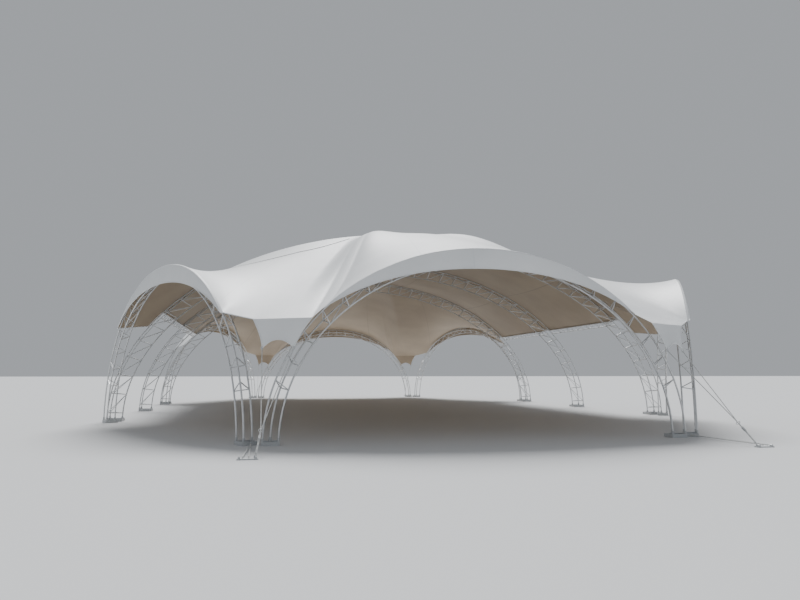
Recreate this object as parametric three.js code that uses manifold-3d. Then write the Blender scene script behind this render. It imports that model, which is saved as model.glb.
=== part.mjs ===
// Arched event tent: a white coated-fabric canopy stretched over curved triangular trusses.
// The plan is a hexagon pulled long: three big hall arches stand across the middle, and at each
// end three smaller arches stand on the sides of half a hexagon, so that people can walk in below
// any of them. Each end arch carries a crescent visor, and each outer corner is pulled down by
// a flap, a V of ropes and a ground anchor.
// Millimetres. +Z is up, +Y runs along the hall, the front entrance faces -Y, and the origin is on
// the ground at the middle of the plan.
import * as THREE from 'three';
import { mergeVertices } from 'three/addons/utils/BufferGeometryUtils.js';
import Module from 'manifold-3d';

const wasm = await Module();
wasm.setup();

// Driving dimensions
const BAY = 6740; // from one hall arch to the next
const END_LENGTH = 9300; // from an end's middle arch to the first hall arch
const HALL_HALF_SPAN = 10360; // half the outer width of a hall arch
const HALL_RISE = 6800; // top of the hall arches
const END_RISE = 4680; // top of the end arches
const FRONT_HALF_SPAN = 5300; // middle arch of each end, half its outer width
const SIDE_HALF_SPAN = 5000; // slanted arches of each end, half their outer width
const SIDE_PLACE = [7910, 4420]; // middle of a slanted arch, from the middle of the end's arch
const SIDE_TURN = 61.8 * Math.PI / 180; // between the middle arch and a slanted one
const HALL_TRUSS = 520; // width across the hall truss, chord to chord
const END_TRUSS = 350; // width across an end truss, chord to chord
const CHORD_RADIUS = 30; // every truss chord
const BAR_RADIUS = 18; // cross bars between the chords
const CHORD_START = 20; // height at which the chords start inside their foot tray
const TRAY_HEIGHT = 90; // foot tray below each leg
const TRAY_MARGIN = 35; // from a chord's centre line to the tray's edge
const CLOTH = 24; // canopy thickness as modelled
const GAP = 0.3; // clearance between pieces that touch
const HALL_STEPS = 13; // straight lengths in half a hall arch
const HALL_EAVE = 4; // chord joint where the roof's lower edge starts
const LOW_CORNER = 0.35; // an end canopy starts this share of a length above the joint below that
const HALL_CREASE = 11; // chord joint where the corner crease of an end meets the hall arch
const FRONT_STEPS = 18; // straight lengths in a middle end arch
const SIDE_STEPS = 18; // straight lengths in a slanted end arch
const END_EAVE = 4; // chord joint where the canopy leaves an end arch
const FRAME_EVERY = 3; // chord joints from one cross frame to the next
const EAVE_BEAM_DEPTH = 200; // between the two tubes of an eave beam
const ROOF_SAG = 170; // inward curve of the roof between two hall arches
const END_SAG = 420; // downward curve of the canopy between an end arch and the hall
const CROWN_LIFT = 160; // upward curve of the middle canopy along its centre line
const SHOULDER_LIFT = 430; // and of its two shoulders, between the centre line and the creases
const VISOR_OUT = [0, 60, 110]; // visor profile, outwards from the arch
const VISOR_DOWN = [0, 12, 520]; // visor profile, inwards along the arch's radius
const CORNER_HEIGHT = 2860; // canopy's lower edge at an outer corner
const CORNER_SHIFT = new THREE.Vector2(680, -100); // middle of the flap, from the plan corner
const FLAP_HALF_TOP = 750; // half the flap's width at its crease
const FLAP_HALF_TIP = 400; // half the distance between its two tips
const FLAP_DROP = 680; // from the crease down to the tips
const FLAP_SCALLOP = 190; // rise of the edge between the tips
const FLAP_OUT = 180; // how far the ropes pull the tips outwards
const ANCHOR_SHIFT = new THREE.Vector2(0, -2540); // ground anchor, from the plan corner
const ANCHOR_SIZE = [400, 130, 24];
const ROPE_RADIUS = 14;
const STRAP_RADIUS = 17;
const GUY_SEAT = [144, 36]; // where the strap meets the anchor plate, from the plate's middle
const FOOT_STRAP_SEATS = [-96, 24]; // and the two straps from the side arch's foot
const RING_SHARE = 0.79; // how far down the line from flap to anchor the ropes join

// Places worked out from the driving dimensions
const SIXTH_TURN = Math.PI / 3;
const FRONT_Y = -(BAY + END_LENGTH);
const SIDE_CENTRE = new THREE.Vector2(-SIDE_PLACE[0], FRONT_Y + SIDE_PLACE[1]); // front left one
const CORNER = new THREE.Vector2(SIDE_CENTRE.x + SIDE_PLACE[1] / Math.tan(SIDE_TURN), FRONT_Y);
const TRIANGLE_HEIGHT = Math.sin(SIXTH_TURN);

// Materials
const cloth = new THREE.MeshStandardMaterial({ color: '#e6e7e8', roughness: 0.55, metalness: 0 });
const alloy = new THREE.MeshStandardMaterial({ color: '#a9acad', roughness: 0.4, metalness: 0.9 });
const steel = new THREE.MeshStandardMaterial({ color: '#7d8184', roughness: 0.5, metalness: 0.9 });
const webbing = new THREE.MeshStandardMaterial({ color: '#b9bbb8', roughness: 0.8, metalness: 0 });

// Solids: a closed geometry becomes a manifold solid for a join, and comes back as a geometry
function toSolid(geometry) {
  const bare = geometry.clone();
  for (const name of ['normal', 'uv']) bare.deleteAttribute(name);
  const merged = mergeVertices(bare, 1e-3);
  const mesh = new wasm.Mesh({
    numProp: 3,
    vertProperties: new Float32Array(merged.attributes.position.array),
    triVerts: new Uint32Array(merged.index.array),
  });
  return new wasm.Manifold(mesh);
}

function join(geometries) {
  const whole = geometries.map(toSolid).reduce((sum, next) => sum.add(next));
  const mesh = whole.simplify(0.05).getMesh();
  const joined = new THREE.BufferGeometry();
  joined.setAttribute('position', new THREE.BufferAttribute(new Float32Array(mesh.vertProperties), 3));
  joined.setIndex(new THREE.BufferAttribute(new Uint32Array(mesh.triVerts), 1));
  return joined;
}

function box(sizeX, sizeY, sizeZ, x, y, z) {
  return new THREE.BoxGeometry(sizeX, sizeY, sizeZ).translate(x, y, z);
}

// Straight bar of few sides between two points
function bar(from, to, radius, sides = 3) {
  const along = to.clone().sub(from);
  const geometry = new THREE.CylinderGeometry(radius, radius, along.length(), sides);
  const turn = new THREE.Quaternion().setFromUnitVectors(new THREE.Vector3(0, 1, 0), along.clone().normalize());
  const middle = from.clone().add(to).multiplyScalar(0.5);
  return geometry.applyQuaternion(turn).translate(middle.x, middle.y, middle.z);
}

// Sheet with a thickness: rows of points on its inner face, each with the direction to its outer face
function sheet(rows, lifts, thickness = CLOTH) {
  const across = rows[0].length;
  const inner = rows.flat();
  const outer = inner.map((point, i) => point.clone().addScaledVector(lifts.flat()[i], thickness));
  const at = (row, column, layer) => layer * inner.length + row * across + column;
  const triangles = [];
  const quad = (a, b, c, d) => triangles.push(a, b, c, a, c, d);
  const lastRow = rows.length - 1;
  const lastColumn = across - 1;
  for (let i = 0; i < lastRow; i += 1) {
    for (let j = 0; j < lastColumn; j += 1) {
      quad(at(i, j, 1), at(i, j + 1, 1), at(i + 1, j + 1, 1), at(i + 1, j, 1));
      quad(at(i, j, 0), at(i + 1, j, 0), at(i + 1, j + 1, 0), at(i, j + 1, 0));
    }
    quad(at(i, 0, 0), at(i, 0, 1), at(i + 1, 0, 1), at(i + 1, 0, 0));
    quad(at(i, lastColumn, 0), at(i + 1, lastColumn, 0), at(i + 1, lastColumn, 1), at(i, lastColumn, 1));
  }
  for (let j = 0; j < lastColumn; j += 1) {
    quad(at(0, j, 0), at(0, j + 1, 0), at(0, j + 1, 1), at(0, j, 1));
    quad(at(lastRow, j, 0), at(lastRow, j, 1), at(lastRow, j + 1, 1), at(lastRow, j + 1, 0));
  }
  const points = [...inner, ...outer];
  const geometry = new THREE.BufferGeometry().setFromPoints(points);
  geometry.setIndex(signedVolume(points, triangles) < 0 ? triangles.reverse() : triangles);
  return geometry;
}

function signedVolume(points, triangles) {
  let sum = 0;
  const cross = new THREE.Vector3();
  for (let i = 0; i < triangles.length; i += 3) {
    cross.crossVectors(points[triangles[i + 1]], points[triangles[i + 2]]);
    sum += points[triangles[i]].dot(cross);
  }
  return sum;
}

function mirrored(geometry) {
  const copy = geometry.clone().scale(-1, 1, 1);
  copy.setIndex([...copy.index.array].reverse());
  return copy;
}

// Arches: each stands in the plane of local x and z, with local -y towards the outside
class ArchCurve extends THREE.Curve {
  constructor(halfSpan, rise, shift, end) {
    super();
    Object.assign(this, { halfSpan, rise, shift, end });
  }

  getPoint(share, target = new THREE.Vector3()) {
    const angle = Math.PI * (1 - this.end * share);
    return target.set(
      this.halfSpan * Math.cos(angle),
      this.shift,
      CHORD_START + this.rise * Math.sin(angle),
    );
  }

  // Direction away from the arch's middle, square to the curve
  outwardAt(point) {
    const x = point.x / this.halfSpan ** 2;
    const z = (point.z - CHORD_START) / this.rise ** 2;
    return new THREE.Vector3(x, 0, z).normalize();
  }
}

function chordCurve(halfSpan, rise, inset, shift, end = 1) {
  const depth = CLOTH + CHORD_RADIUS + inset;
  return new ArchCurve(halfSpan - depth, rise - depth - CHORD_START, shift, end);
}

function chordTube(curve, steps) {
  const corners = [0, 1, 2, 3].map((quarter) => {
    const angle = quarter * Math.PI / 2;
    return new THREE.Vector2(CHORD_RADIUS * Math.cos(angle), CHORD_RADIUS * Math.sin(angle));
  });
  return new THREE.ExtrudeGeometry(new THREE.Shape(corners), {
    steps,
    extrudePath: curve,
    bevelEnabled: false,
  });
}

function footTray(curves, foot) {
  const points = curves.map((curve) => curve.getPoint(foot));
  const box3 = new THREE.Box3().setFromPoints(points);
  const size = box3.getSize(new THREE.Vector3());
  const middle = box3.getCenter(new THREE.Vector3());
  return box(
    size.x + 2 * TRAY_MARGIN, size.y + 2 * TRAY_MARGIN, TRAY_HEIGHT,
    middle.x, middle.y, TRAY_HEIGHT / 2,
  );
}

// Three chords, a triangle of bars at every few joints, and a tray at each foot
function trussArch(curves, steps, feet) {
  const pieces = curves.map((curve) => chordTube(curve, steps));
  const joints = curves.map((curve) => curve.getSpacedPoints(steps));
  for (let joint = FRAME_EVERY; joint < steps; joint += FRAME_EVERY) {
    for (let side = 0; side < curves.length; side += 1) {
      const next = (side + 1) % curves.length;
      pieces.push(bar(joints[side][joint], joints[next][joint], BAR_RADIUS));
    }
  }
  for (const foot of feet) pieces.push(footTray(curves, foot));
  return join(pieces);
}

// Hall truss: two chords below the roof, one inside. End truss: a ladder of two chords that faces
// outwards, and the third chord behind it.
const hallCurves = [
  chordCurve(HALL_HALF_SPAN, HALL_RISE, 0, -HALL_TRUSS / 2, 0.5),
  chordCurve(HALL_HALF_SPAN, HALL_RISE, 0, HALL_TRUSS / 2, 0.5),
  chordCurve(HALL_HALF_SPAN, HALL_RISE, HALL_TRUSS * TRIANGLE_HEIGHT, 0, 0.5),
];
const LADDER_SHIFT = -END_TRUSS * TRIANGLE_HEIGHT / 3;

function endCurves(halfSpan) {
  return [
    chordCurve(halfSpan, END_RISE, 0, LADDER_SHIFT),
    chordCurve(halfSpan, END_RISE, END_TRUSS, LADDER_SHIFT),
    chordCurve(halfSpan, END_RISE, END_TRUSS / 2, -2 * LADDER_SHIFT),
  ];
}

// Inner face of the cloth where it lies on a chord, with the direction to its outer face
function clothLine(curve, steps, first, last) {
  const joints = curve.getSpacedPoints(steps).slice(first, last + 1);
  return joints.map((joint) => {
    const lift = curve.outwardAt(joint);
    return { point: joint.clone().addScaledVector(lift, CHORD_RADIUS + GAP), lift };
  });
}

// Turns a line of cloth points from an arch's own frame into the tent's
function placeLine(line, centre, turn, shift = 0) {
  const axis = new THREE.Vector3(0, 0, 1);
  return line.map(({ point, lift }) => ({
    point: point.clone().add(new THREE.Vector3(0, shift, 0)).applyAxisAngle(axis, turn)
      .add(new THREE.Vector3(centre.x, centre.y, 0)),
    lift: lift.clone().applyAxisAngle(axis, turn),
  }));
}

// Puts equal parts between neighbouring points of a line, a number for all or one for each
function divide(line, parts) {
  const fine = [];
  for (let i = 0; i + 1 < line.length; i += 1) {
    const count = parts[i] ?? parts;
    for (let part = 0; part < count; part += 1) {
      const share = part / count;
      fine.push({
        point: line[i].point.clone().lerp(line[i + 1].point, share),
        lift: line[i].lift.clone().lerp(line[i + 1].lift, share).normalize(),
      });
    }
  }
  return [...fine, line.at(-1)];
}

// Cloth between two lines of equal length, hanging a little below the straight rulings; extra
// height, where there is any, is added by row and by share of the way
function stretched(outerLine, innerLine, columns, sag, extra = () => 0) {
  const rows = [];
  const lifts = [];
  outerLine.forEach((start, i) => {
    const end = innerLine[i];
    const edge = Math.sin(Math.PI * i / (outerLine.length - 1));
    const reach = start.point.distanceTo(end.point) / END_LENGTH;
    rows.push([]);
    lifts.push([]);
    for (let column = 0; column <= columns; column += 1) {
      const share = column / columns;
      const drop = sag * 4 * share * (1 - share) * Math.min(1, reach) * (0.35 + 0.65 * edge);
      const point = start.point.clone().lerp(end.point, share);
      point.z += extra(i, share) - drop;
      rows[i].push(point);
      lifts[i].push(start.lift.clone().lerp(end.lift, share).normalize());
    }
  });
  return sheet(rows, lifts);
}

// Roof of half a bay, from the eave to the crown, seen from the front left
function roofPanel() {
  const line = clothLine(hallCurves[0], HALL_STEPS, HALL_EAVE, HALL_STEPS);
  const hold = HALL_TRUSS / 2 + CHORD_RADIUS + 10;
  const open = BAY - 2 * hold;
  const stations = [
    [-BAY - HALL_TRUSS / 2 + GAP, 0],
    [-BAY + hold, 0],
    [-BAY + hold + open * 0.25, 0.72],
    [-BAY + hold + open * 0.5, 1],
    [-BAY + hold + open * 0.75, 0.72],
    [-hold, 0],
    [-GAP / 2, 0],
  ];
  const rows = line.map(({ point, lift }, i) => {
    const held = Math.sqrt(Math.sin(0.5 * Math.PI * i / (line.length - 1)));
    const x = Math.min(point.x, -GAP / 2);
    return stations.map(([y, share]) => new THREE.Vector3(x, y, point.z)
      .add(new THREE.Vector3(i === line.length - 1 ? 0 : lift.x, 0, lift.z)
        .multiplyScalar(-ROOF_SAG * share * held)));
  });
  const lifts = line.map(({ lift }, i) => stations.map(() => (
    i === line.length - 1 ? new THREE.Vector3(0, 0, 1) : lift.clone()
  )));
  return sheet(rows, lifts);
}

// Front left corner: the crease line of the flap, across the corner's bisector
const BISECTOR = new THREE.Vector3(-0.5, -Math.sin(SIXTH_TURN), 0);
const ACROSS = new THREE.Vector3(Math.sin(SIXTH_TURN), -0.5, 0);
const FLAP_MIDDLE = new THREE.Vector3(
  CORNER.x + CORNER_SHIFT.x, CORNER.y + CORNER_SHIFT.y, CORNER_HEIGHT,
);

function creasePoint(side, lift) {
  return {
    point: FLAP_MIDDLE.clone().addScaledVector(ACROSS, side * FLAP_HALF_TOP),
    lift,
  };
}

const UP = new THREE.Vector3(0, 0, 1);
const hallLine = placeLine(
  clothLine(hallCurves[0], HALL_STEPS, HALL_EAVE - 1, HALL_STEPS),
  new THREE.Vector2(0, -BAY), 0, -GAP,
);
hallLine[0].point.lerp(hallLine[1].point, LOW_CORNER);
const CREASE_AT = HALL_CREASE - HALL_EAVE + 1;
const HALL_PARTS = [1, 2, 2, 2, 1, 1, 1, 4]; // rows of the slanted canopy to each hall length

// Slanted canopy of an end, from a side arch up to the hall arch
function sidePanel() {
  const sideLine = placeLine(
    clothLine(endCurves(SIDE_HALF_SPAN)[0], SIDE_STEPS, END_EAVE, SIDE_STEPS - END_EAVE),
    SIDE_CENTRE, -SIDE_TURN, GAP,
  );
  const corner = divide([sideLine.at(-1), creasePoint(-1, UP), creasePoint(-GAP / FLAP_HALF_TOP, UP)], 2);
  const outerLine = [...sideLine.slice(0, -1), ...corner];
  const innerLine = divide(hallLine.slice(0, CREASE_AT + 1), HALL_PARTS);
  innerLine.at(-1).lift = UP;
  return stretched(outerLine, innerLine, 4, END_SAG);
}

// Middle canopy of an end, from the front arch up to the hall arch's crown. It falls to a valley
// at each crease and stands up in a shoulder beside it.
function middlePanel() {
  const frontLine = placeLine(
    clothLine(endCurves(FRONT_HALF_SPAN)[0], FRONT_STEPS, END_EAVE, FRONT_STEPS - END_EAVE),
    new THREE.Vector2(0, FRONT_Y), 0, GAP,
  );
  const flip = ({ point, lift }) => ({
    point: point.clone().multiply(new THREE.Vector3(-1, 1, 1)),
    lift: lift.clone().multiply(new THREE.Vector3(-1, 1, 1)),
  });
  const left = divide([creasePoint(GAP / FLAP_HALF_TOP, UP), creasePoint(1, UP)], 2);
  const outerLine = [...left, ...frontLine, ...left.map(flip).reverse()];
  const crown = hallLine.slice(CREASE_AT).map(({ point, lift }) => ({ point: point.clone(), lift }));
  crown.at(-1).point.x = 0;
  crown.at(-1).lift = UP;
  const innerLine = divide([...crown, ...crown.slice(0, -1).map(flip).reverse()], 4);
  for (const end of [innerLine[0], innerLine.at(-1)]) {
    end.lift = UP;
    end.point.x -= Math.sign(end.point.x) * GAP;
  }
  const half = (outerLine.length - 1) / 2;
  const vault = (row, share) => {
    const aside = Math.abs(row - half) / half;
    const shoulder = SHOULDER_LIFT * Math.sin(Math.PI * aside ** 1.4) ** 2;
    const swell = CROWN_LIFT * (1 - aside ** 2) + END_SAG * 0.8 * (1 - aside ** 4);
    return (swell + shoulder) * Math.sin(Math.PI * share ** 1.5);
  };
  return stretched(outerLine, innerLine, 6, END_SAG, vault);
}

// Crescent visor of an end arch, in the arch's own frame
function visor(halfSpan, steps) {
  const line = clothLine(endCurves(halfSpan)[0], steps, END_EAVE, steps - END_EAVE);
  const [, kinkOut, edgeOut] = VISOR_OUT;
  const [, kinkDown, edgeDown] = VISOR_DOWN;
  const kink = Math.hypot(kinkOut, kinkDown);
  const whole = kink + Math.hypot(edgeOut - kinkOut, edgeDown - kinkDown);
  const profile = (length) => {
    if (length <= kink) return [kinkOut * length / kink, kinkDown * length / kink];
    const share = (length - kink) / (whole - kink);
    return [kinkOut + (edgeOut - kinkOut) * share, kinkDown + (edgeDown - kinkDown) * share];
  };
  const rows = [];
  const lifts = [];
  line.forEach(({ point, lift }, i) => {
    const wide = whole * (0.1 + 0.9 * Math.sin(Math.PI * i / (line.length - 1)));
    const lengths = [0, Math.min(kink, 0.97 * wide), wide];
    rows.push(lengths.map((length) => {
      const [out, down] = profile(length);
      return new THREE.Vector3(point.x, point.y - GAP - out, point.z).addScaledVector(lift, -down);
    }));
    lifts.push(lengths.map((length) => {
      const turned = Math.min(1, length / kink);
      const hanging = Math.max(0, length - kink) / (whole - kink);
      return lift.clone().multiplyScalar(1 - 0.85 * hanging).setY(-turned).normalize();
    }));
  });
  return sheet(rows, lifts);
}

// Corner flap: hangs from the crease, narrows to two tips, with a scallop between them
function flapPoint(side, down) {
  const half = FLAP_HALF_TIP + (FLAP_HALF_TOP - FLAP_HALF_TIP) * (1 - down) ** 1.4;
  const drop = GAP + down * (FLAP_DROP - FLAP_SCALLOP * (1 - side * side));
  return FLAP_MIDDLE.clone()
    .addScaledVector(ACROSS, side * half)
    .addScaledVector(BISECTOR, FLAP_OUT * down)
    .addScaledVector(UP, -drop);
}

function flap() {
  const rows = [];
  for (let i = 0; i <= 6; i += 1) {
    rows.push([0, 0.3, 0.65, 1].map((down) => flapPoint(i / 3 - 1, down)));
  }
  return sheet(rows, rows.map((row) => row.map(() => BISECTOR.clone())));
}

// Guy: a block at each flap tip, two ropes to a ring, and one strap down to the anchor
const ANCHOR = new THREE.Vector3(CORNER.x + ANCHOR_SHIFT.x, CORNER.y + ANCHOR_SHIFT.y, 0);
const [ANCHOR_LENGTH, ANCHOR_WIDTH, ANCHOR_THICKNESS] = ANCHOR_SIZE;
const BLOCK = 52;

function guy() {
  const seat = new THREE.Vector3(
    ANCHOR.x + GUY_SEAT[0], ANCHOR.y + GUY_SEAT[1], ANCHOR_THICKNESS + GAP + BLOCK / 2,
  );
  const tips = [-1, 1].map((side) => {
    const tip = flapPoint(side, 1).addScaledVector(BISECTOR, CLOTH / 2);
    return tip.addScaledVector(UP, -GAP - BLOCK / 2);
  });
  const ring = tips[0].clone().add(tips[1]).multiplyScalar(0.5).lerp(seat, RING_SHARE);
  const pieces = [
    box(BLOCK, BLOCK, BLOCK, seat.x, seat.y, seat.z),
    new THREE.OctahedronGeometry(BLOCK).translate(ring.x, ring.y, ring.z),
    bar(ring, seat, STRAP_RADIUS, 4),
  ];
  for (const tip of tips) {
    pieces.push(box(BLOCK, BLOCK, BLOCK, tip.x, tip.y, tip.z));
    pieces.push(bar(tip, ring, ROPE_RADIUS, 4));
  }
  return join(pieces);
}

function anchor() {
  const plate = box(
    ANCHOR_LENGTH, ANCHOR_WIDTH, ANCHOR_THICKNESS, ANCHOR.x, ANCHOR.y, ANCHOR_THICKNESS / 2,
  );
  const stakes = [-1, 1].map((side) => {
    const x = ANCHOR.x + side * ANCHOR_LENGTH * 0.39;
    const head = new THREE.CylinderGeometry(24, 24, 60, 8).rotateX(Math.PI / 2);
    return head.translate(x, ANCHOR.y - ANCHOR_WIDTH * 0.2, 38);
  });
  return join([plate, ...stakes]);
}

// Two straps on the ground, from the end of the side arch's near tray to the anchor plate
function footStrap() {
  const trayEnd = endCurves(SIDE_HALF_SPAN)[0].halfSpan + TRAY_MARGIN;
  const trayFace = new THREE.Vector3(trayEnd + GAP + BLOCK / 2, -LADDER_SHIFT / 2, TRAY_HEIGHT / 2)
    .applyAxisAngle(UP, -SIDE_TURN)
    .add(new THREE.Vector3(SIDE_CENTRE.x, SIDE_CENTRE.y, 0));
  const ends = FOOT_STRAP_SEATS.map((x) => new THREE.Vector3(
    ANCHOR.x + x, ANCHOR.y, ANCHOR_THICKNESS + GAP + BLOCK / 2,
  ));
  const clip = box(BLOCK, BLOCK, BLOCK, 0, 0, 0).rotateZ(-SIDE_TURN);
  const pieces = [clip.translate(trayFace.x, trayFace.y, trayFace.z)];
  for (const end of ends) {
    pieces.push(box(BLOCK, BLOCK, BLOCK, end.x, end.y, end.z));
    pieces.push(bar(trayFace, end, ROPE_RADIUS, 4));
  }
  return join(pieces);
}

// Eave beam of one bay: two tubes between neighbouring hall arches, joined by short posts
function eaveBeam() {
  const joints = hallCurves[1].getSpacedPoints(HALL_STEPS);
  const down = joints[HALL_EAVE - 1].clone().sub(joints[HALL_EAVE]).normalize();
  const near = -BAY + HALL_TRUSS / 2 + CHORD_RADIUS + GAP;
  const far = -HALL_TRUSS / 2 - CHORD_RADIUS - GAP;
  const tubeLine = (depth, y) => joints[HALL_EAVE].clone().addScaledVector(down, depth).setY(y);
  const tubes = [0, EAVE_BEAM_DEPTH].map((depth) => (
    bar(tubeLine(depth, near), tubeLine(depth, far), CHORD_RADIUS, 4)
  ));
  const posts = [1, 2, 3, 4, 5].map((post) => {
    const y = near + (far - near) * post / 6;
    return bar(tubeLine(0, y), tubeLine(EAVE_BEAM_DEPTH, y), BAR_RADIUS);
  });
  return join([...tubes, ...posts]);
}

// Assembly
const tent = new THREE.Group();

function place(name, geometry, material, { x = 0, y = 0, turn = 0 } = {}) {
  const mesh = new THREE.Mesh(geometry, material);
  mesh.name = name;
  mesh.position.set(x, y, 0);
  mesh.rotation.z = turn;
  tent.add(mesh);
}

// A piece of the front left quarter, and its three images
function placeQuarters(name, geometry, material) {
  const other = mirrored(geometry);
  place(`${name}_front_left`, geometry, material);
  place(`${name}_front_right`, other, material);
  place(`${name}_rear_left`, other, material, { turn: Math.PI });
  place(`${name}_rear_right`, geometry, material, { turn: Math.PI });
}

const hallHalf = trussArch(hallCurves, HALL_STEPS, [0]);
[-BAY, 0, BAY].forEach((y, i) => {
  place(`hall_arch_${i + 1}_left`, hallHalf, alloy, { x: -GAP / 2, y });
  place(`hall_arch_${i + 1}_right`, hallHalf, alloy, { x: GAP / 2, y, turn: Math.PI });
});

const frontArch = trussArch(endCurves(FRONT_HALF_SPAN), FRONT_STEPS, [0, 1]);
const sideArch = trussArch(endCurves(SIDE_HALF_SPAN), SIDE_STEPS, [0, 1]);
const frontVisor = visor(FRONT_HALF_SPAN, FRONT_STEPS);
const sideVisor = visor(SIDE_HALF_SPAN, SIDE_STEPS);
const middle = middlePanel();
const ends = [
  { end: 'front', flip: 1, turn: 0 },
  { end: 'rear', flip: -1, turn: Math.PI },
];
for (const { end, flip, turn } of ends) {
  place(`${end}_arch`, frontArch, alloy, { y: flip * FRONT_Y, turn });
  place(`${end}_visor`, frontVisor, cloth, { y: flip * FRONT_Y, turn });
  place(`canopy_${end}_middle`, middle, cloth, { turn });
  for (const [side, sign] of [['left', 1], ['right', -1]]) {
    const spot = {
      x: sign * SIDE_CENTRE.x,
      y: flip * SIDE_CENTRE.y,
      turn: turn - sign * flip * SIDE_TURN,
    };
    place(`${end}_${side}_arch`, sideArch, alloy, spot);
    place(`${end}_${side}_visor`, sideVisor, cloth, spot);
  }
}

placeQuarters('canopy', sidePanel(), cloth);
placeQuarters('roof', roofPanel(), cloth);
placeQuarters('corner_flap', flap(), cloth);
placeQuarters('guy', guy(), webbing);
placeQuarters('anchor', anchor(), steel);
placeQuarters('foot_strap', footStrap(), webbing);
placeQuarters('eave_beam', eaveBeam(), alloy);

export default tent;
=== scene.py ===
# %% [markdown]
# # An arch-frame stretch tent
# A white coated-fabric canopy is stretched over nine curved triangular trusses. Three big hall
# arches stand across the middle, and three smaller arches close each end along half a hexagon.
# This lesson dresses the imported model: round tubes with their lacing, the fabric with its hems
# and seams, and the ropes and anchors at the corners. Every piece is a surface that numpy
# works out from a few named sizes, the same sizes as in the part's source, in metres.

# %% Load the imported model
import math

import bpy
import numpy as np
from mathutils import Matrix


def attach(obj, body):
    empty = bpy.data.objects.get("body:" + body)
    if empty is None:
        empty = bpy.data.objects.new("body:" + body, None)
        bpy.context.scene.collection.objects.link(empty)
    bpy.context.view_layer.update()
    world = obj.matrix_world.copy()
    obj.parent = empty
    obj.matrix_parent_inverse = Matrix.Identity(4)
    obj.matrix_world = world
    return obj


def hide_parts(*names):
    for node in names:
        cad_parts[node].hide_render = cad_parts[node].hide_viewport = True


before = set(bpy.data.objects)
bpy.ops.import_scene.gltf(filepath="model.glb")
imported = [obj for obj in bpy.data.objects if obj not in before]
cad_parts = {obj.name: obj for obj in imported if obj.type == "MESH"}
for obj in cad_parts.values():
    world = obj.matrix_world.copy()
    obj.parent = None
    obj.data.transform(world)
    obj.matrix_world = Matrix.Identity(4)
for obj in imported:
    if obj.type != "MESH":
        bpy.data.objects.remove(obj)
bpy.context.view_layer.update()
print("packed model:", len(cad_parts), "nodes")

# %% [markdown]
# ## Sizes
# The plan is a hexagon pulled long. Everything else follows from the bay between two hall
# arches, the length of an end, and the half span and height of the three kinds of arch. They
# could be measured on the solids, but written out they show what each size moves.

# %% Sizes of the frame
BAY = 6.74
END_LENGTH = 9.3
HALL = (10.36, 6.8)
FRONT = (5.3, 4.68)
SIDE = (5.0, 4.68)
SIDE_PLACE = (7.91, 4.42)
SIDE_TURN = math.radians(61.8)
HALL_TRUSS = 0.52
END_TRUSS = 0.35
SIXTH_TURN = math.pi / 3
FRONT_Y = -(BAY + END_LENGTH)
SIDE_CENTRE = np.array([-SIDE_PLACE[0], FRONT_Y + SIDE_PLACE[1], 0.0])
CORNER = np.array([SIDE_CENTRE[0] + SIDE_PLACE[1] / math.tan(SIDE_TURN), FRONT_Y, 0.0])
UP = np.array([0.0, 0.0, 1.0])
print("plan:", 2 * HALL[0], "by", round(-2 * FRONT_Y, 2), "m from arch to arch")

# %% [markdown]
# ## Where the cloth is held
# The length of each arch is counted in equal steps, 26 over a hall arch and 18 over an end
# arch, and the cloth starts at the eaves, four steps up from either foot. At each outer corner
# it is pulled down over a straight fold that lies square to the corner's bisector. Steps and
# fold are the solids' own, so that the drawn cloth lies where the solid one does.

# %% Steps of the arches and the front left fold
HALL_STEPS = 26
HALL_EAVE = 4
END_STEPS = 18
END_EAVE = 4
CORNER_HEIGHT = 2.86
FLAP_MIDDLE = CORNER + np.array([0.68, -0.1, CORNER_HEIGHT])
BISECTOR = np.array([-0.5, -math.sin(SIXTH_TURN), 0.0])
ACROSS = np.array([math.sin(SIXTH_TURN), -0.5, 0.0])
print("middle of the front left fold:", FLAP_MIDDLE.round(2))

# %% [markdown]
# ## Camera
# The camera stands at eye height outside the front, a little left of the middle, and looks
# slightly up and to the right, so the left slanted arch opens towards it. It could be dragged
# until the picture fits. Here its tilt follows from the row of the horizon and its lens from
# one length in pixels, so that the view is the same each time.

# %% Camera
EYE = np.array([-5.41, FRONT_Y - 16.13, 1.6])
YAW = math.radians(11.6)
HORIZON_ROW = 373.8
FOCAL_PIXELS = 695.7
PHOTO_WIDTH = 800
PHOTO_HEIGHT = 600


def add_camera():
    """A lens of so many pixels is that share of the sensor's width, times the sensor."""
    data = bpy.data.cameras.new("photo_camera")
    data.sensor_width = 36.0
    data.lens = data.sensor_width * FOCAL_PIXELS / PHOTO_WIDTH
    data.clip_end = 500.0
    camera = bpy.data.objects.new("photo_camera", data)
    pitch = math.atan((HORIZON_ROW - PHOTO_HEIGHT / 2) / FOCAL_PIXELS)
    camera.location = EYE
    camera.rotation_euler = (math.pi / 2 + pitch, 0.0, -YAW)
    bpy.context.scene.collection.objects.link(camera)
    bpy.context.scene.camera = camera
    print("camera at", EYE.round(2), "with a lens of", round(data.lens, 1), "mm")


add_camera()

# %% [markdown]
# ## Helpers for meshes
# A shape is gathered as arrays of points and faces and becomes one mesh at the end. Grids,
# tubes and bundles of straight bars cover almost everything on a tent. Blender's own operators
# could add the same forms one by one, but arrays take hundreds of bars at once.

# %% Points and faces


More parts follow.
